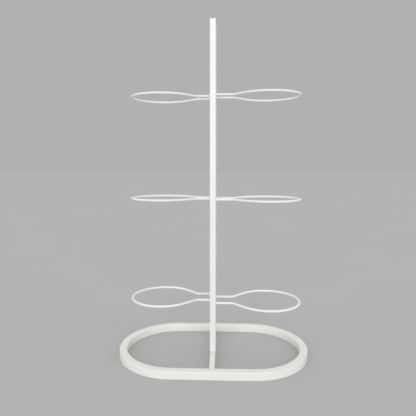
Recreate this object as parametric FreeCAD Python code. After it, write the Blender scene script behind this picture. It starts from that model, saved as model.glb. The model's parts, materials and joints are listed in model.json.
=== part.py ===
import FreeCAD, Part
import math
import os

# Free-standing stand: a racetrack base of bent square tube, a flat upright post
# screwed to its crossbar, and tiers of bent-rod rings to the left and right.
# Frame: +Z up, X across the rings, Y from front to rear, origin on the floor
# under the middle of the base.  All sizes are in millimetres.

Vector = FreeCAD.Vector
X_AXIS = Vector(1, 0, 0)
Y_AXIS = Vector(0, 1, 0)
Z_AXIS = Vector(0, 0, 1)

# ---------------------------------------------------------------- overall
base_width = 500.0            # X, outside to outside
base_depth = 305.0            # Y, outside to outside
stand_height = 874.0          # floor to the top of the post plug

# ---------------------------------------------------------------- base ring
base_tube = 20.0              # side of the square tube
base_wall = 1.5
base_corner = 1.5             # outside corner radius of the tube
seam_x = 70.0                 # place of the butt seam in the rear run
seam_gap = 1.0                # width of the weld that closes the tube

# ---------------------------------------------------------------- crossbar
crossbar_width = 13.2
crossbar_wall = 1.5
crossbar_corner = 1.5
fillet_weld_leg = 3.0         # side of the welds beside the crossbar's ends
fillet_weld_margin = 2.0      # those welds stop short of the tube's top and bottom
top_weld_radius = 2.4
top_weld_sink = 1.5           # the top weld's centre lies this far under the top

# ---------------------------------------------------------------- post
post_width = 15.1             # X
post_depth = 96.0            # Y
post_wall = 1.5
post_corner = 2.0

# ---------------------------------------------------------------- post foot
foot_plate_thickness = 10.0
foot_plate_clearance = 0.05
screw_spacing = 60.0
screw_diameter = 5.0
screw_length = 16.0
screw_head_diameter = 8.5
screw_head_height = 5.0
screw_socket = 4.0            # across the flats
screw_socket_depth = 2.5
screw_edge_break = 0.5
thread_clearance = 0.05
washer_diameter = 9.0
washer_thickness = 1.0
washer_clearance = 0.2
through_hole_clearance = 0.3
access_hole_clearance = 0.2

# ---------------------------------------------------------------- post plug
plug_flange = 2.5
plug_skirt = 14.0
plug_wall = 2.0
plug_clearance = 0.1
plug_edge = 0.8
plug_dish = 1.3               # depth of the shallow dish along its top

# ---------------------------------------------------------------- rings
rod_diameter = 6.0
eye_radius = 83.65            # round eye, to the rod's centreline
neck_spacing = 52.9           # between the two legs' centrelines
eye_reach = 91.15             # from the kink to the eye's centre
kink_radius = 7.0             # bend where a leg flares out to the eye
leg_length = 49.4             # from the kink to the rod's end
ring_stagger = 12.2           # right rings forwards, left rings rearwards
first_tier = 145.9
tier_pitch = 268.9
tier_names = ("low", "middle", "top")
left_end_gap = 0.25           # left legs stop this short of the far wall
right_tail = 3.4              # right legs stand this far inside the near wall
leg_hole_clearance = 0.1
ring_weld_leg = 1.8           # size of the fillet welds round the legs
ring_weld_gap = 0.02

# ---------------------------------------------------------------- derived
end_radius = base_depth / 2
straight_half = base_width / 2 - end_radius
inner_y = base_depth / 2 - base_tube
post_foot = base_tube
post_top = stand_height - plug_flange
rod_radius = rod_diameter / 2
screw_places = (-screw_spacing / 2, screw_spacing / 2)
crossbar_ceiling = base_tube - crossbar_wall
tier_heights = [first_tier + i * tier_pitch for i in range(len(tier_names))]


def rounded_box(width, depth, low, high, corner):
    """Upright box centred on the Z axis, with its four upright edges rounded."""
    box = Part.makeBox(width, depth, high - low, Vector(-width / 2, -depth / 2, low))
    if corner <= 0:
        return box
    upright = [e for e in box.Edges if abs(e.tangentAt(e.FirstParameter).z) > 0.9]
    return box.makeFillet(corner, upright)


def racetrack(inset, low, high):
    """Racetrack-shaped slab, `inset` inside the outline of the base."""
    radius = end_radius - inset
    ends = [Part.makeCylinder(radius, high - low, Vector(x, 0, low))
            for x in (-straight_half, straight_half)]
    middle = Part.makeBox(2 * straight_half, 2 * radius, high - low,
                          Vector(-straight_half, -radius, low))
    return middle.fuse(ends).removeSplitter()


def racetrack_bar(inset, corner):
    """Closed bent bar of square section, `inset` inside the tube all round."""
    low = inset
    high = base_tube - inset
    bar = racetrack(inset, low, high).cut(racetrack(base_tube - inset, low, high))
    lying = [e for e in bar.Edges if e.BoundBox.ZLength < 1e-6]
    return bar.makeFillet(corner, lying)


def solid_base_ring():
    return racetrack_bar(0, base_corner)


def seam_slab():
    size = 3 * base_tube
    corner = Vector(seam_x - seam_gap / 2, base_depth / 2 - size, -base_tube)
    return Part.makeBox(seam_gap, 2 * size, size, corner)


def hollow_base_ring():
    bore_corner = max(base_corner - base_wall, 0.2)
    return solid_base_ring().cut(racetrack_bar(base_wall, bore_corner))


def base_ring():
    return hollow_base_ring().cut(seam_slab())


def base_seam_weld():
    return hollow_base_ring().common(seam_slab())


def lying_bar(width, height, length, corner, low):
    """Bar along Y, centred on X = 0, with its four long edges rounded."""
    bar = Part.makeBox(width, length, height, Vector(-width / 2, -length / 2, low))
    long_edges = [e for e in bar.Edges if abs(e.tangentAt(e.FirstParameter).y) > 0.9]
    return bar.makeFillet(corner, long_edges)


def solid_crossbar():
    return lying_bar(crossbar_width, base_tube, 2 * inner_y, crossbar_corner, 0)


def base_crossbar():
    bore_corner = max(crossbar_corner - crossbar_wall, 0.2)
    bore = lying_bar(crossbar_width - 2 * crossbar_wall, base_tube - 2 * crossbar_wall,
                     2 * inner_y + base_tube, bore_corner, crossbar_wall)
    bar = solid_crossbar().cut(bore)
    hole = (screw_diameter + 2 * through_hole_clearance) / 2
    access = washer_diameter / 2 + access_hole_clearance
    for y in screw_places:
        place = Vector(0, y, base_tube / 2)
        bar = bar.cut(Part.makeCylinder(hole, base_tube, place))
        bar = bar.cut(Part.makeCylinder(access, base_tube, place, -Z_AXIS))
    return bar


def side_fillet_weld(side_x, side_y):
    """Upright bead in the corner between the crossbar's side and the base tube."""
    x = side_x * crossbar_width / 2
    y = side_y * inner_y
    root = Vector(x, y, fillet_weld_margin)
    on_ring = root + X_AXIS * (side_x * fillet_weld_leg)
    on_bar = root - Y_AXIS * (side_y * fillet_weld_leg)
    middle = (on_ring + on_bar) * 0.5
    crown = middle + (middle - root) * 0.25
    outline = Part.Wire([Part.LineSegment(root, on_ring).toShape(),
                         Part.Arc(on_ring, crown, on_bar).toShape(),
                         Part.LineSegment(on_bar, root).toShape()])
    return Part.Face(outline).extrude(Z_AXIS * (base_tube - 2 * fillet_weld_margin))


def top_weld(side_y):
    """Bead that fills the groove between the crossbar's top and the base tube."""
    length = crossbar_width - 2 * crossbar_corner
    start = Vector(-length / 2, side_y * inner_y, base_tube - top_weld_sink)
    bead = Part.makeCylinder(top_weld_radius, length, start, X_AXIS)
    return bead.cut(solid_base_ring()).cut(solid_crossbar())


def crossbar_weld(side_y):
    beads = [side_fillet_weld(-1, side_y), side_fillet_weld(1, side_y)]
    crown = max(top_weld(side_y).Solids, key=lambda s: s.BoundBox.ZMax)
    return Part.makeCompound(beads + [crown])


def leg_places():
    """Every leg hole in the post: side of the post, Y and height."""
    places = []
    for height in tier_heights:
        for side in (-1, 1):
            for leg in (-1, 1):
                y = -side * ring_stagger + leg * neck_spacing / 2
                places.append((side, y, height))
    return places


def post_tube():
    bore = rounded_box(post_width - 2 * post_wall, post_depth - 2 * post_wall,
                       0, stand_height, max(post_corner - post_wall, 0.2))
    post = rounded_box(post_width, post_depth, post_foot, post_top, post_corner).cut(bore)
    hole = rod_radius + leg_hole_clearance
    for side, y, height in leg_places():
        start = Vector(side * post_width / 4, y, height)
        post = post.cut(Part.makeCylinder(hole, post_width, start, X_AXIS * side))
    return post


def post_foot_plate():
    inset = 2 * (post_wall + foot_plate_clearance)
    corner = max(post_corner - post_wall, 0.2)
    plate = rounded_box(post_width - inset, post_depth - inset,
                        post_foot, post_foot + foot_plate_thickness, corner)
    hole = screw_diameter / 2 + thread_clearance
    for y in screw_places:
        plate = plate.cut(Part.makeCylinder(hole, stand_height, Vector(0, y, 0)))
    return plate


def base_washer(y):
    low = crossbar_ceiling - washer_thickness
    disc = Part.makeCylinder(washer_diameter / 2, washer_thickness, Vector(0, y, low))
    hole = screw_diameter / 2 + washer_clearance
    return disc.cut(Part.makeCylinder(hole, washer_thickness, Vector(0, y, low)))


def base_screw(y):
    """Cap screw, head down, its thread up through the crossbar into the foot plate."""
    seat = crossbar_ceiling - washer_thickness
    head = Part.makeCylinder(screw_head_diameter / 2, screw_head_height,
                             Vector(0, y, seat - screw_head_height))
    rims = [e for e in head.Edges if abs(e.BoundBox.ZMax - seat) > 1
            and e.BoundBox.ZLength < 1e-6]
    head = head.makeChamfer(screw_edge_break, rims)
    shank = Part.makeCylinder(screw_diameter / 2, screw_length, Vector(0, y, seat))
    tip = [e for e in shank.Edges if e.BoundBox.ZMin > seat + screw_length / 2]
    shank = shank.makeChamfer(screw_edge_break, tip)
    corner_radius = screw_socket / math.sqrt(3)
    corners = [Vector(corner_radius * math.cos(math.radians(60 * i)),
                      y + corner_radius * math.sin(math.radians(60 * i)),
                      seat - screw_head_height) for i in range(7)]
    socket = Part.Face(Part.makePolygon(corners)).extrude(Z_AXIS * screw_socket_depth)
    return head.fuse(shank).removeSplitter().cut(socket)


def post_plug():
    flange = rounded_box(post_width, post_depth, post_top, stand_height, post_corner)
    rim = [e for e in flange.Edges if e.BoundBox.ZMin > stand_height - 1e-6]
    flange = flange.makeFillet(plug_edge, rim)
    half = post_width / 2 - plug_edge
    dish_radius = (half ** 2 + plug_dish ** 2) / (2 * plug_dish)
    start = Vector(0, -post_depth, stand_height + dish_radius - plug_dish)
    flange = flange.cut(Part.makeCylinder(dish_radius, 2 * post_depth, start, Y_AXIS))
    fit = 2 * (post_wall + plug_clearance)
    corner = max(post_corner - post_wall, 0.2)
    skirt = rounded_box(post_width - fit, post_depth - fit,
                        post_top - plug_skirt, post_top, corner)
    hollow = rounded_box(post_width - fit - 2 * plug_wall, post_depth - fit - 2 * plug_wall,
                         post_top - plug_skirt, post_top, corner)
    return flange.fuse(skirt.cut(hollow)).removeSplitter()


def kink_distance(side):
    """From the post's middle plane to the kink, on the left (-1) or right (1)."""
    left_depth = post_width - post_wall - left_end_gap
    right_depth = post_wall + right_tail
    depth = left_depth if side < 0 else right_depth
    return post_width / 2 - depth + leg_length


def mirrored(point):
    return Vector(point.x, -point.y, point.z)


def ring_path():
    """Centreline of a ring, its kinks at x = 0 and its eye on the +X side."""
    half_neck = neck_spacing / 2
    to_centre = math.hypot(eye_reach, half_neck)
    touch = (math.pi - math.atan2(half_neck, eye_reach)
             - math.acos(eye_radius / to_centre))
    turn = touch - math.pi / 2
    setback = kink_radius * math.tan(turn / 2)
    rod_end = Vector(-leg_length, half_neck, 0)
    leg_out = Vector(-setback, half_neck, 0)
    kink = leg_out + Vector(kink_radius * math.sin(turn / 2),
                            kink_radius * (1 - math.cos(turn / 2)), 0)
    flare_in = Vector(setback * math.cos(turn), half_neck + setback * math.sin(turn), 0)
    flare_out = Vector(eye_reach + eye_radius * math.cos(touch),
                       eye_radius * math.sin(touch), 0)
    far_point = Vector(eye_reach + eye_radius, 0, 0)
    return Part.Wire([
        Part.LineSegment(rod_end, leg_out).toShape(),
        Part.Arc(leg_out, kink, flare_in).toShape(),
        Part.LineSegment(flare_in, flare_out).toShape(),
        Part.Arc(flare_out, far_point, mirrored(flare_out)).toShape(),
        Part.LineSegment(mirrored(flare_out), mirrored(flare_in)).toShape(),
        Part.Arc(mirrored(flare_in), mirrored(kink), mirrored(leg_out)).toShape(),
        Part.LineSegment(mirrored(leg_out), mirrored(rod_end)).toShape(),
    ])


def placed(shape, side, height):
    """A ring or weld drawn with its kinks at x = 0, moved to its side and tier."""
    moved = shape.copy()
    if side < 0:
        moved.rotate(Vector(0, 0, 0), Z_AXIS, 180)
    moved.translate(Vector(side * kink_distance(side), -side * ring_stagger, height))
    return moved


def ring(side, height):
    path = ring_path()
    start = Vector(-leg_length, neck_spacing / 2, 0)
    section = Part.Wire([Part.makeCircle(rod_radius, start, X_AXIS)])
    rod = path.makePipeShell([section], True, False)
    return placed(rod, side, height)


def ring_weld(side, height):
    """Fillet beads round both legs, on the outside of the post's wall."""
    wall_x = post_width / 2 - kink_distance(side)
    inner = rod_radius + ring_weld_gap
    outer = inner + ring_weld_leg
    beads = []
    for leg in (-1, 1):
        y = leg * neck_spacing / 2
        at_root = Vector(wall_x, y + inner, 0)
        on_wall = Vector(wall_x, y + outer, 0)
        on_rod = Vector(wall_x + ring_weld_leg, y + inner, 0)
        middle = (on_wall + on_rod) * 0.5
        crown = middle + (middle - at_root) * 0.2
        outline = Part.Wire([Part.LineSegment(at_root, on_wall).toShape(),
                             Part.Arc(on_wall, crown, on_rod).toShape(),
                             Part.LineSegment(on_rod, at_root).toShape()])
        beads.append(Part.Face(outline).revolve(Vector(wall_x, y, 0), X_AXIS, 360))
    return placed(Part.makeCompound(beads), side, height)


def build():
    nodes = {
        "base_ring": base_ring(),
        "base_seam_weld": base_seam_weld(),
        "base_crossbar": base_crossbar(),
        "crossbar_weld_front": crossbar_weld(-1),
        "crossbar_weld_rear": crossbar_weld(1),
        "post_tube": post_tube(),
        "post_foot_plate": post_foot_plate(),
        "post_plug": post_plug(),
        "base_screws": Part.makeCompound([base_screw(y) for y in screw_places]),
        "base_washers": Part.makeCompound([base_washer(y) for y in screw_places]),
    }
    for tier, height in zip(tier_names, tier_heights):
        for side_name, side in (("left", -1), ("right", 1)):
            nodes[f"ring_{tier}_{side_name}"] = ring(side, height)
            nodes[f"ring_weld_{tier}_{side_name}"] = ring_weld(side, height)
    return nodes


os.makedirs("parts", exist_ok=True)
for node, shape in build().items():
    shape.exportStep(f"parts/{node}.step")
    print(node, len(shape.Solids), round(shape.Volume), shape.isValid())
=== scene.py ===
import json
import math

import bmesh
import bpy
from mathutils import Matrix, Vector


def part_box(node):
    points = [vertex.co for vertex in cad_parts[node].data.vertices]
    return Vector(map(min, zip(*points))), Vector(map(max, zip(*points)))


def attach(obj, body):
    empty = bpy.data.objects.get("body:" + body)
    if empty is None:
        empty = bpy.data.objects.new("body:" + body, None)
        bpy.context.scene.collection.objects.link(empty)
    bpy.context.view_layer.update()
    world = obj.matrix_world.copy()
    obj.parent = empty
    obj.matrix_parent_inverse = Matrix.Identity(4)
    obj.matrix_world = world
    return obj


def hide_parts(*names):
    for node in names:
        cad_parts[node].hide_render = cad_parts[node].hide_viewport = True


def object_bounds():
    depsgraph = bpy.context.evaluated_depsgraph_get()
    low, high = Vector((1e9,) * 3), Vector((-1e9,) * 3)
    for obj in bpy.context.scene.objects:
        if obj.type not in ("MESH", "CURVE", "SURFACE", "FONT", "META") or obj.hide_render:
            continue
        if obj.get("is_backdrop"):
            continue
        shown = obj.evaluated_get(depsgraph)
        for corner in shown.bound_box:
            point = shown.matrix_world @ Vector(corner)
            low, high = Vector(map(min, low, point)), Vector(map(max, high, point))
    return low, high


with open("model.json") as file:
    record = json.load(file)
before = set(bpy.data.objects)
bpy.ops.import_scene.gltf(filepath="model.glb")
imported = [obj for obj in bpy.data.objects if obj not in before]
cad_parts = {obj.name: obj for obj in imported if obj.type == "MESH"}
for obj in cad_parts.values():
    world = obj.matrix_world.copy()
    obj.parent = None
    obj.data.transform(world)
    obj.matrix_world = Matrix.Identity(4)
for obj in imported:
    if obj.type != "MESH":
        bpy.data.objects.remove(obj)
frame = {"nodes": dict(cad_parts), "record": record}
cad_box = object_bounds()

# A white powder-coated stand: racetrack base of square tube, flat post, bent-rod rings.
# Lengths are in metres.  Places come from the frame's boxes; the sizes below are the ones
# that a box doesn't tell.

MM = 0.001
BODY = "root"
SIDES = {"left": -1, "right": 1}
TIERS = ("low", "middle", "top")

tube_corner = 1.5 * MM            # corner radius of the base's square tube
bend_steps = 48                   # sections in each half-round end of the base
bend_hollow = 0.35 * MM           # how far the tube's outer wall draws in on a bend
base_end_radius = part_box("base_ring")[1][1]

neck_spacing = 52.9 * MM          # between the two legs of a ring
eye_reach = 91.15 * MM            # from a ring's kinks to the middle of its eye
kink_radius = 7 * MM
rod_sides = 24
kink_steps = 8
eye_steps = 96
kink_flattening = 0.96            # a rod bent this tight goes slightly oval
kink_reach = 3.6 * MM             # how far the flattening goes along the rod
kink_breadth = 6 * MM             # and across it

bead_radius = 1.25 * MM           # round section of the weld beads on the legs
bead_stand_off = 0.35 * MM        # their middle line outside the rod's skin
bead_steps = 40
bead_ripples = 10
ripple_height = 0.3 * MM

weld_radius = 1.9 * MM            # of the welds round the crossbar's ends
weld_ripple = 1.3 * MM            # length of one ripple in them
weld_sunk = 0.4 * MM              # how far the side welds lie into the base tube

post_corner = 2 * MM
plug_flange = 2.5 * MM
plug_edge = 0.8 * MM
plug_dish = 1.3 * MM

# Painted shade at the post's foot: a dark shadow line where it meets the crossbar.
painted_joint_shadow = (1.5 * MM, 4 * MM)   # painted shadow line at the joint with the crossbar, heights above the post's foot: all dark, and gone again
joint_shadow_darkness = 0.75
low_darkening_heights = (100 * MM, 320 * MM)  # post darker towards the bottom, heights above the floor: fully darker, and plain again
low_darkening = 0.16

hair = 0.1 * MM                   # slack when points are picked by their place


# ------------------------------------------------------------------ modelling aids

def deselect():
    for thing in bpy.context.selected_objects:
        thing.select_set(False)


def activate(piece):
    deselect()
    piece.select_set(True)
    bpy.context.view_layer.objects.active = piece


def add(primitive, name, **size_and_place):
    """A primitive whose object sits at the origin, its place in its mesh."""
    deselect()
    primitive(**size_and_place)
    piece = bpy.context.object
    piece.name = name
    piece.data.name = name
    bpy.ops.object.transform_apply(location=True, rotation=True, scale=True)
    return piece


def start_edit(piece):
    activate(piece)
    bpy.ops.object.mode_set(mode="EDIT")


def end_edit():
    bpy.ops.object.mode_set(mode="OBJECT")


def select(piece, kind, rule):
    """In edit mode: selects the verts, edges or faces that the rule holds for."""
    modes = {"verts": "VERT", "edges": "EDGE", "faces": "FACE"}
    bpy.ops.mesh.select_mode(type=modes[kind])
    bpy.ops.mesh.select_all(action="DESELECT")
    mesh = bmesh.from_edit_mesh(piece.data)
    for item in getattr(mesh, kind):
        item.select_set(bool(rule(item)))
    mesh.select_flush_mode()
    bmesh.update_edit_mesh(piece.data)


def select_all():
    bpy.ops.mesh.select_all(action="SELECT")


def middle_of(item):
    return sum((v.co for v in item.verts), Vector()) / len(item.verts)


def extrude(*move):
    bpy.ops.mesh.extrude_region_move(TRANSFORM_OT_translate={"value": move})


def spin(centre, angle, steps, axis=(0, 0, 1)):
    """Sweeps the selected loop round the axis; a positive angle is anticlockwise."""
    bpy.ops.mesh.spin(steps=steps, angle=-angle, center=centre, axis=axis)


def close_skin():
    select_all()
    bpy.ops.mesh.remove_doubles(threshold=0.01 * MM)
    bpy.ops.mesh.normals_make_consistent(inside=False)


def smooth(piece, degrees=35):
    activate(piece)
    bpy.ops.object.shade_smooth_by_angle(angle=math.radians(degrees))


def round_off(piece):
    """One applied level of subdivision."""
    activate(piece)
    rounder = piece.modifiers.new("rounder", "SUBSURF")
    rounder.levels = 1
    rounder.render_levels = 1
    bpy.ops.object.modifier_apply(modifier=rounder.name)


def copied(piece, name, move):
    """A copy with its own mesh, moved by a matrix that goes into the mesh."""
    twin = piece.copy()
    twin.data = piece.data.copy()
    twin.name = name
    twin.data.name = name
    bpy.context.scene.collection.objects.link(twin)
    twin.data.transform(move)
    return twin


def fit_out(piece, slot, material, *nodes):
    """Gives a finished piece its material and its body, and hides the CAD nodes it stands
    for.
    """
    piece.data.materials.clear()
    piece.data.materials.append(material)
    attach(piece, BODY)
    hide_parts(*nodes)


# ------------------------------------------------------------------ base

def tube_section(name, x, y, size, low):
    """Square tube's outline in a plane across X, its corners rounded."""
    piece = add(bpy.ops.mesh.primitive_plane_add, name, size=size,
                location=(x, y, low + size / 2), rotation=(0, math.pi / 2, 0))
    start_edit(piece)
    select_all()
    bpy.ops.mesh.bevel(offset=tube_corner, segments=4, affect="VERTICES")
    select(piece, "edges", lambda e: e.calc_length() > size / 2)
    bpy.ops.mesh.subdivide(number_cuts=3)
    return piece


def make_base_tube():
    low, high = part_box("base_ring")
    size = high[2] - low[2]
    half_straight = high[0] - base_end_radius
    path_y = base_end_radius - size / 2
    piece = tube_section("base_tube", half_straight, -path_y, size, low[2])
    select_all()
    bpy.ops.mesh.delete(type="ONLY_FACE")
    select_all()
    spin((half_straight, 0, 0), math.pi, bend_steps)
    extrude(-2 * half_straight, 0, 0)
    spin((-half_straight, 0, 0), math.pi, bend_steps)
    extrude(2 * half_straight, 0, 0)
    close_skin()
    draw_in_bends(piece, half_straight, size)
    end_edit()
    smooth(piece)
    return piece


def draw_in_bends(piece, half_straight, size):
    """The outer wall of a bent square tube goes slightly hollow on the bends."""
    middle = size / 2
    for reach, depth in ((0.3, 0.6), (0.1, 0.4)):
        def on_outer_wall(vert):
            past_bend = abs(vert.co.x) - half_straight
            from_centre = math.hypot(past_bend, vert.co.y)
            return (past_bend > 5 * MM and from_centre > base_end_radius - hair
                    and abs(vert.co.z - middle) < reach * size)
        select(piece, "verts", on_outer_wall)
        bpy.ops.transform.shrink_fatten(value=-bend_hollow * depth)


def make_seam_weld():
    """Butt seam of the base tube, ground flush outside and below."""
    low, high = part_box("base_seam_weld")
    crown = 0.12 * MM
    width = 2.4 * MM
    shy = 0.02 * MM                   # the top is ground this much below the tube's
    centre_x = (low[0] + high[0]) / 2
    size = high[2] - low[2]
    piece = tube_section("base_seam", centre_x - width / 2, (low[1] + high[1]) / 2,
                         size, low[2])
    select_all()
    extrude(width, 0, 0)
    select(piece, "verts", lambda v: v.co.z > high[2] - tube_corner / 2)
    bpy.ops.transform.translate(value=(0, 0, -shy))
    select(piece, "edges", lambda e: abs(middle_of(e).x - centre_x) < hair)
    bpy.ops.mesh.subdivide(number_cuts=2)
    select(piece, "verts", lambda v: abs(v.co.x - centre_x) < width / 4
           and (v.co.y < low[1] + tube_corner / 2))
    bpy.ops.transform.translate(value=(0, -crown, 0))
    close_skin()
    end_edit()
    smooth(piece)
    return piece


# ------------------------------------------------------------------ rings

def make_ring():
    """The lowest ring on the right: two legs, two kinks and one round eye."""
    low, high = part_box("ring_low_right")
    rod = (high[2] - low[2]) / 2
    middle_y = (low[1] + high[1]) / 2
    height = (low[2] + high[2]) / 2
    eye_radius = (high[1] - low[1]) / 2 - rod
    eye_x = high[0] - rod - eye_radius
    kink_x = eye_x - eye_reach
    half_neck = neck_spacing / 2

    touch = (math.pi - math.atan2(half_neck, eye_reach)
             - math.acos(eye_radius / math.hypot(eye_reach, half_neck)))
    turn = touch - math.pi / 2
    setback = kink_radius * math.tan(turn / 2)
    flare = math.hypot(eye_reach, half_neck) ** 2 - eye_radius ** 2
    flare = math.sqrt(flare) - setback
    leg = kink_x - setback - low[0]
    across = kink_radius + half_neck

    piece = add(bpy.ops.mesh.primitive_circle_add, "ring_low_right_rod",
                vertices=rod_sides, radius=rod, rotation=(0, math.pi / 2, 0),
                location=(low[0], middle_y - half_neck, height))
    start_edit(piece)
    select_all()
    extrude(leg, 0, 0)
    spin((kink_x - setback, middle_y - across, height), -turn, kink_steps)
    extrude(flare * math.cos(turn), -flare * math.sin(turn), 0)
    spin((eye_x, middle_y, height), 2 * touch, eye_steps)
    extrude(-flare * math.cos(turn), -flare * math.sin(turn), 0)
    spin((kink_x - setback, middle_y + across, height), -turn, kink_steps)
    extrude(-leg, 0, 0)
    flatten_kinks(piece, kink_x, middle_y, half_neck, height)
    select(piece, "edges", lambda e: e.is_boundary)
    bpy.ops.mesh.fill()
    close_skin()
    end_edit()
    smooth(piece, 50)
    return piece


def flatten_kinks(piece, kink_x, middle_y, half_neck, height):
    """The tight bends leave the rod a little lower than it is wide."""
    for side in (-1, 1):
        y = middle_y + side * half_neck
        select(piece, "verts", lambda v: abs(v.co.x - kink_x) < kink_reach
               and abs(v.co.y - y) < kink_breadth)
        bpy.ops.transform.resize(value=(1, 1, kink_flattening),
                                 center_override=(kink_x, y, height))


def make_ring_bead():
    """One weld bead round a leg, rippled as the torch left it, centred on the origin."""
    low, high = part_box("ring_low_right")
    rod = (high[2] - low[2]) / 2
    centre_line = rod + bead_stand_off
    piece = add(bpy.ops.mesh.primitive_torus_add, "bead", major_radius=centre_line,
                minor_radius=bead_radius, major_segments=bead_steps, minor_segments=12,
                rotation=(0, math.pi / 2, 0))
    start_edit(piece)
    steps_per_ripple = bead_steps // bead_ripples

    def on_ripple(vert):
        turn = math.atan2(vert.co.z, vert.co.y) / (2 * math.pi) * bead_steps
        return round(turn) % steps_per_ripple == 0
    select(piece, "verts", on_ripple)
    bpy.ops.transform.shrink_fatten(value=ripple_height)
    end_edit()
    round_off(piece)
    smooth(piece, 80)
    return piece


# ------------------------------------------------------------------ post plug

def make_plug():
    """The cap on the post: rounded corners and edge, its top dished from side to side."""
    low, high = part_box("post_plug")
    top = high[2]
    piece = add(bpy.ops.mesh.primitive_cube_add, "plug", size=1,
                location=(0, 0, top - plug_flange / 2),
                scale=(high[0] - low[0], high[1] - low[1], plug_flange))
    start_edit(piece)
    select(piece, "edges", lambda e: abs(e.verts[0].co.z - e.verts[1].co.z) > plug_flange / 2)
    bpy.ops.mesh.bevel(offset=post_corner, segments=8, affect="EDGES")
    select(piece, "faces", lambda f: f.normal.z > 0.9)
    bpy.ops.mesh.bevel(offset=plug_edge, segments=8, affect="EDGES")
    half = (high[0] - low[0]) / 2 - plug_edge
    strips = 12
    cuts = [-half + 2 * half * i / strips for i in range(1, strips)]
    for x in cuts:
        select_all()
        bpy.ops.mesh.bisect(plane_co=(x, 0, 0), plane_no=(1, 0, 0))
    for x in cuts:
        drop = plug_dish * (1 - (x / half) ** 2)
        select(piece, "verts", lambda v: abs(v.co.x - x) < hair / 2
               and v.co.z > top - plug_edge - hair)
        bpy.ops.transform.translate(value=(0, 0, -drop))
    close_skin()
    end_edit()
    smooth(piece, 16)
    return piece


# ------------------------------------------------------------------ crossbar welds

def weld_run(name, start, end, radius):
    """A straight weld: a round bead laid in overlapping ripples, tapered at both ends."""
    start, end = Vector(start), Vector(end)
    along = (end - start).normalized()
    steps = max(8, 2 * round((end - start).length / weld_ripple))
    step = (end - start) / steps
    taper = (0.45, 0.78)
    thickness = [1.0 if i % 2 else 0.84 for i in range(steps + 1)]
    thickness[:2] = taper
    thickness[-2:] = reversed(taper)
    piece = add(bpy.ops.mesh.primitive_circle_add, name, vertices=16, fill_type="NGON",
                radius=radius * thickness[0], location=start,
                rotation=along.to_track_quat("Z", "Y").to_euler())
    start_edit(piece)
    select_all()
    for i in range(1, steps + 1):
        extrude(*step)
        swell = thickness[i] / thickness[i - 1]
        bpy.ops.transform.resize(value=(swell, swell, swell),
                                 center_override=start + step * i)
    close_skin()
    end_edit()
    round_off(piece)
    smooth(piece, 80)
    return piece


def make_crossbar_weld(end):
    """Welds round one end of the crossbar: up both sides and over the top."""
    name = {-1: "front", 1: "rear"}[end]
    low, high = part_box("base_crossbar")
    y = end * high[1]
    side_y = y - end * weld_sunk
    from_corner = 2.5 * MM            # where the side welds start and stop
    runs = [weld_run("weld", (x, side_y, low[2] + from_corner),
                     (x, side_y, high[2] - from_corner), weld_radius)
            for x in (low[0], high[0])]
    inset = 0.9 * MM
    top = high[2] - 1.2 * MM
    runs.append(weld_run("weld", (low[0] + inset, y, top), (high[0] - inset, y, top),
                         weld_radius))
    activate(runs[0])
    for run in runs:
        run.select_set(True)
    bpy.ops.object.join()
    piece = bpy.context.object
    piece.name = "crossbar_bead_" + name
    piece.data.name = piece.name
    return piece


# ------------------------------------------------------------------ material groups

def new_group(name, inputs, outputs):
    """An empty node group with its sockets, each given as (name, type, default)."""
    group = bpy.data.node_groups.new(name, "ShaderNodeTree")
    for label, kind, default in inputs:
        socket = group.interface.new_socket(label, in_out="INPUT", socket_type=kind)
        socket.default_value = default
    for label, kind in outputs:
        group.interface.new_socket(label, in_out="OUTPUT", socket_type=kind)
    return group


class Nodes:
    """Adds and joins nodes in one tree."""

    def __init__(self, tree):
        self.tree = tree

    def add(self, kind, **settings):
        node = self.tree.nodes.new(kind)
        for key, value in settings.items():
            setattr(node, key, value)
        return node

    def join(self, source, target):
        self.tree.links.new(source, target)

    def set(self, node, **values):
        for key, value in values.items():
            node.inputs[key.replace("_", " ")].default_value = value
        return node

    def noise(self, vector, scale, detail=2.0, roughness=0.5):
        node = self.add("ShaderNodeTexNoise")
        self.set(node, Scale=scale, Detail=detail, Roughness=roughness)
        self.join(vector, node.inputs["Vector"])
        return node.outputs["Fac"]

    def ramp(self, value, low, high, out_low=0.0, out_high=1.0):
        node = self.add("ShaderNodeMapRange")
        self.join(value, node.inputs["Value"])
        for socket, number in zip(("From Min", "From Max", "To Min", "To Max"),
                                  (low, high, out_low, out_high)):
            node.inputs[socket].default_value = number
        return node.outputs["Result"]

    def give(self, value, socket):
        """Sets a socket to a constant, or joins another node's output to it."""
        if isinstance(value, (int, float, tuple)):
            socket.default_value = value
        else:
            self.join(value, socket)

    def math(self, operation, first, second):
        node = self.add("ShaderNodeMath", operation=operation)
        for value, socket in zip((first, second), node.inputs):
            self.give(value, socket)
        return node.outputs["Value"]

    def mix(self, factor, first, second):
        """Mix of two colours; the node's colour sockets are inputs 6 and 7, output 2."""
        node = self.add("ShaderNodeMix", data_type="RGBA")
        for value, place in zip((factor, first, second), (0, 6, 7)):
            self.give(value, node.inputs[place])
        return node.outputs[2]

    def bump(self, height, distance):
        node = self.add("ShaderNodeBump")
        self.set(node, Strength=1.0)
        self.give(distance, node.inputs["Distance"])
        self.join(height, node.inputs["Height"])
        return node.outputs["Normal"]

    def stretched(self, vector, scale):
        node = self.add("ShaderNodeMapping")
        self.join(vector, node.inputs["Vector"])
        self.give(scale, node.inputs["Scale"])
        return node.outputs["Vector"]


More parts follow.
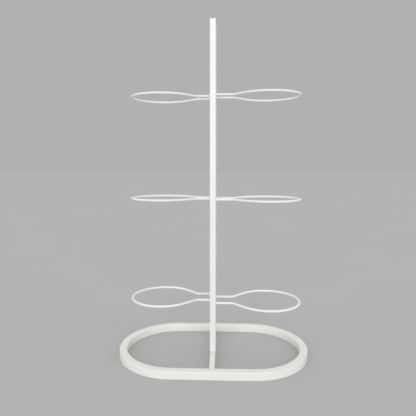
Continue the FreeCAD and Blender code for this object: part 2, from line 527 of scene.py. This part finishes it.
def make_powder_coat_group():
    """Baked powder: orange peel, a faint cloudiness and a rare speck."""
    group = new_group("powder_coat",
                      [("Colour", "NodeSocketColor", (0.86, 0.86, 0.85, 1)),
                       ("Peel Scale", "NodeSocketFloat", 420.0),
                       ("Peel Depth", "NodeSocketFloat", 0.00002),
                       ("Roughness", "NodeSocketFloat", 0.36)],
                      [("Colour", "NodeSocketColor"), ("Roughness", "NodeSocketFloat"),
                       ("Normal", "NodeSocketVector")])
    nodes = Nodes(group)
    given = nodes.add("NodeGroupInput").outputs
    result = nodes.add("NodeGroupOutput").inputs
    place = nodes.add("ShaderNodeTexCoord").outputs["Object"]

    cloud = nodes.noise(place, 14, 3)
    speck = nodes.add("ShaderNodeTexVoronoi")
    nodes.set(speck, Scale=160)
    nodes.join(place, speck.inputs["Vector"])
    is_small = nodes.ramp(speck.outputs["Distance"], 0.05, 0.09, 1, 0)
    is_rare = nodes.ramp(speck.outputs["Color"], 0.80, 0.81)
    specks = nodes.math("MULTIPLY", is_small, is_rare)
    clouded = nodes.mix(nodes.ramp(cloud, 0.35, 0.7, 0, 0.06), given["Colour"],
                        (0.62, 0.62, 0.60, 1))
    nodes.join(nodes.mix(nodes.math("MULTIPLY", specks, 0.35), clouded,
                         (0.40, 0.39, 0.37, 1)), result["Colour"])

    satin = nodes.ramp(nodes.noise(place, 60, 2), 0.3, 0.7, -0.04, 0.05)
    nodes.join(nodes.math("ADD", given["Roughness"], satin), result["Roughness"])

    peel = nodes.add("ShaderNodeTexNoise")
    nodes.set(peel, Detail=1.5, Roughness=0.45)
    nodes.join(place, peel.inputs["Vector"])
    nodes.join(given["Peel Scale"], peel.inputs["Scale"])
    nodes.join(nodes.bump(peel.outputs["Fac"], given["Peel Depth"]), result["Normal"])
    return group


def make_scuff_group():
    """Faint rubbed streaks in a coat, put out as a mask."""
    group = new_group("scuffs",
                      [("Stretch", "NodeSocketVector", (20.0, 20.0, 200.0)),
                       ("Amount", "NodeSocketFloat", 0.5)],
                      [("Mask", "NodeSocketFloat")])
    nodes = Nodes(group)
    given = nodes.add("NodeGroupInput").outputs
    result = nodes.add("NodeGroupOutput").inputs
    place = nodes.add("ShaderNodeTexCoord").outputs["Object"]
    grain = nodes.stretched(place, given["Stretch"])
    streaks = nodes.ramp(nodes.noise(grain, 1, 4, 0.6), 0.56, 0.72)
    patches = nodes.ramp(nodes.noise(place, 18, 1), 0.5, 0.65)
    both = nodes.math("MULTIPLY", streaks, patches)
    nodes.join(nodes.math("MULTIPLY", both, given["Amount"]), result["Mask"])
    return group


# ------------------------------------------------------------------ materials

def new_material(name, **plain):
    """A Principled material; constants go straight onto the shader's sockets."""
    material = bpy.data.materials.new(name)
    material.use_nodes = True
    shader = material.node_tree.nodes["Principled BSDF"]
    for key, value in plain.items():
        shader.inputs[key.replace("_", " ")].default_value = value
    return material, shader, Nodes(material.node_tree)


def placed_group(nodes, group, **values):
    return nodes.set(nodes.add("ShaderNodeGroup", node_tree=group), **values)


def foot_shadow_and_darkening_mask(nodes):
    """Where the post's foot is darker: a painted shadow line at the joint, and above it the
    post darker towards the bottom.
    """
    place = nodes.add("ShaderNodeTexCoord").outputs["Object"]
    split = nodes.add("ShaderNodeSeparateXYZ")
    nodes.join(place, split.inputs["Vector"])
    height = split.outputs["Z"]
    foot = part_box("post_tube")[0][2]
    # painted shadow line where the post meets the crossbar
    shadow_line = nodes.ramp(height, *(foot + h for h in painted_joint_shadow), joint_shadow_darkness, 0)
    # the post darker towards the bottom
    darker_low = nodes.ramp(height, *low_darkening_heights, low_darkening, 0)
    return nodes.math("MAXIMUM", shadow_line, darker_low)


def coat_material(name, colour, peel_scale, peel_depth, roughness, stretch, scuffed,
                  foot_shade=None):
    """White powder coat over steel, with a few rubbed streaks and perhaps, at the foot, a
    painted shadow line and a darker lower part.
    """
    material, shader, nodes = new_material(name, Coat_Weight=0.2, Coat_Roughness=0.18)
    coat = placed_group(nodes, powder_coat, Colour=(*colour, 1), Peel_Scale=peel_scale,
                        Peel_Depth=peel_depth, Roughness=roughness)
    scuffs = placed_group(nodes, scuff_marks, Stretch=stretch, Amount=scuffed)
    mask = scuffs.outputs["Mask"]
    worn_and_shaded = nodes.mix(mask, coat.outputs["Colour"], (0.55, 0.54, 0.52, 1))
    if foot_shade:
        # on the post, a painted shadow line at the foot and a darker lower part go into the
        # colour
        worn_and_shaded = nodes.mix(foot_shadow_and_darkening_mask(nodes), worn_and_shaded, foot_shade)
    nodes.join(worn_and_shaded, shader.inputs["Base Color"])
    nodes.join(nodes.math("SUBTRACT", coat.outputs["Roughness"],
                          nodes.math("MULTIPLY", mask, 0.25)), shader.inputs["Roughness"])
    nodes.join(coat.outputs["Normal"], shader.inputs["Normal"])
    return material


def plug_material():
    """Moulded plastic with a fine spark-eroded grain."""
    material, shader, nodes = new_material("plug_plastic")
    place = nodes.add("ShaderNodeTexCoord").outputs["Object"]
    nodes.join(nodes.mix(nodes.noise(place, 40, 2), (0.84, 0.84, 0.82, 1),
                         (0.80, 0.80, 0.78, 1)), shader.inputs["Base Color"])
    nodes.join(nodes.ramp(nodes.noise(place, 300, 2), 0.3, 0.7, 0.5, 0.62),
               shader.inputs["Roughness"])
    nodes.join(nodes.bump(nodes.noise(place, 2500, 2), 0.02 * MM), shader.inputs["Normal"])
    return material


def steel_material(name, bright, dark, roughness):
    """Bare or zinc-plated steel: cloudy tone and fine turned lines."""
    material, shader, nodes = new_material(name, Metallic=1.0)
    place = nodes.add("ShaderNodeTexCoord").outputs["Object"]
    cloud = nodes.ramp(nodes.noise(place, 120, 4), 0.35, 0.65)
    nodes.join(nodes.mix(cloud, (*bright, 1), (*dark, 1)), shader.inputs["Base Color"])
    nodes.join(nodes.ramp(cloud, 0, 1, roughness, roughness + 0.12),
               shader.inputs["Roughness"])
    lines = nodes.noise(nodes.stretched(place, (300, 300, 6000)), 1, 2)
    nodes.join(nodes.bump(lines, 0.01 * MM), shader.inputs["Normal"])
    return material


powder_coat = make_powder_coat_group()
scuff_marks = make_scuff_group()
materials = {
    "base_coat": coat_material("base_coat", (0.86, 0.868, 0.828), 380, 0.12 * MM, 0.34,
                               (14, 14, 260), 0.10),
    # the post's colour carries a painted shadow line at its foot and is darker towards the
    # bottom
    "post_coat": coat_material("post_coat", (0.90, 0.903, 0.885), 380, 0.12 * MM, 0.34,
                               (200, 200, 10), 0.05, foot_shade=(0.5, 0.49, 0.46, 1)),
    "rod_coat": coat_material("rod_coat", (0.90, 0.903, 0.885), 600, 0.05 * MM, 0.32,
                              (60, 60, 400), 0.08),
    "weld_coat": coat_material("weld_coat", (0.84, 0.847, 0.81), 900, 0.10 * MM, 0.42,
                               (60, 60, 60), 0.03),
    "plug_plastic": plug_material(),
    "zinc_steel": steel_material("zinc_steel", (0.66, 0.67, 0.68), (0.52, 0.53, 0.54), 0.26),
    "plain_steel": steel_material("plain_steel", (0.34, 0.34, 0.35), (0.2, 0.2, 0.21), 0.45),
}


# ------------------------------------------------------------------ stage

floor_tone = (0.53, 0.53, 0.527)
world_tone = (0.44, 0.44, 0.44)
camera_place = (0.0261, -1.1093, 0.5055)
camera_down = 2.063               # degrees below level
camera_left = 2.063               # degrees left of straight back


def make_camera():
    data = bpy.data.cameras.new("camera")
    data.sensor_width = 36.0
    data.lens = 36.09
    data.shift_y = -0.0686
    camera = bpy.data.objects.new("camera", data)
    bpy.context.scene.collection.objects.link(camera)
    camera.location = camera_place
    camera.rotation_euler = (math.radians(90 - camera_down), 0, math.radians(camera_left))
    bpy.context.scene.camera = camera


def make_floor():
    floor = add(bpy.ops.mesh.primitive_plane_add, "floor", size=60)
    material, shader, nodes = new_material("floor", Roughness=1.0, Specular_IOR_Level=0.0)
    place = nodes.add("ShaderNodeTexCoord").outputs["Object"]
    tone = nodes.ramp(nodes.noise(place, 3, 2), 0.3, 0.7)
    nodes.join(nodes.mix(tone, (*floor_tone, 1), (*[v * 0.985 for v in floor_tone], 1)),
               shader.inputs["Base Color"])
    floor.data.materials.append(material)
    floor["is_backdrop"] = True


def sun(name, azimuth, elevation, power, softness):
    """Far soft light; azimuth 0 shines from the front, 90 from the right."""
    data = bpy.data.lights.new(name, "SUN")
    data.energy = power
    data.angle = math.radians(softness)
    light = bpy.data.objects.new(name, data)
    bpy.context.scene.collection.objects.link(light)
    light.rotation_euler = (math.radians(90 - elevation), 0, math.radians(azimuth))


def make_surroundings():
    world = bpy.data.worlds.new("world")
    world.use_nodes = True
    background = world.node_tree.nodes["Background"]
    background.inputs["Color"].default_value = (*world_tone, 1)
    background.inputs["Strength"].default_value = 1.0
    bpy.context.scene.world = world
    bpy.context.scene.view_settings.view_transform = "Standard"


# ------------------------------------------------------------------ making

make_camera()
make_floor()
make_surroundings()
sun("front", 0, 15, 1.95, 60)
sun("rear", 180, 30, 0.45, 80)
sun("left", -90, 25, 0.63, 80)
sun("right", 90, 25, 0.65, 80)

fit_out(make_base_tube(), "base_coat", materials["base_coat"], "base_ring")
fit_out(make_seam_weld(), "base_coat", materials["base_coat"], "base_seam_weld")
fit_out(make_plug(), "plug_plastic", materials["plug_plastic"], "post_plug")
for end, node in ((-1, "crossbar_weld_front"), (1, "crossbar_weld_rear")):
    fit_out(make_crossbar_weld(end), "weld_coat", materials["weld_coat"], node)

ring = make_ring()
ring_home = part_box("ring_low_right")
bead = make_ring_bead()
post_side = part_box("post_tube")[1][0]
for tier in TIERS:
    for side_name, side in SIDES.items():
        place = f"{tier}_{side_name}"
        low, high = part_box("ring_" + place)
        centre = Vector(((low[i] + high[i]) / 2 for i in range(3)))
        home = Vector(((ring_home[0][i] + ring_home[1][i]) / 2 for i in range(3)))
        turn = Matrix.Rotation(0 if side > 0 else math.pi, 4, "Z")
        move = Matrix.Translation(centre) @ turn @ Matrix.Translation(-home)
        rod = copied(ring, f"rod_{place}", move)
        fit_out(rod, "rod_coat", materials["rod_coat"], "ring_" + place)
        beads = []
        for leg in (-1, 1):
            spot = Vector((side * post_side, centre.y + leg * neck_spacing / 2, centre.z))
            # No two beads have their ripples in the same place.
            start = Matrix.Rotation(leg * side * 0.6 + centre.z * 9, 4, "X")
            beads.append(copied(bead, "bead", Matrix.Translation(spot) @ start))
        activate(beads[0])
        beads[1].select_set(True)
        bpy.ops.object.join()
        pair = bpy.context.object
        pair.name = f"beads_{place}"
        pair.data.name = pair.name
        fit_out(pair, "weld_coat", materials["weld_coat"], "ring_weld_" + place)
bpy.data.objects.remove(ring)
bpy.data.objects.remove(bead)

slot_of = {row["node"]: row["material_slot"] for row in frame["record"]["subparts"]}
for node in ("base_crossbar", "post_tube", "post_foot_plate", "base_screws", "base_washers"):
    skin = frame["nodes"][node].data
    skin.materials.clear()
    skin.materials.append(materials[slot_of[node]])

boxes = {"cad": cad_box, "visual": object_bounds()}
{name: [list(corner) for corner in box] for name, box in boxes.items()}
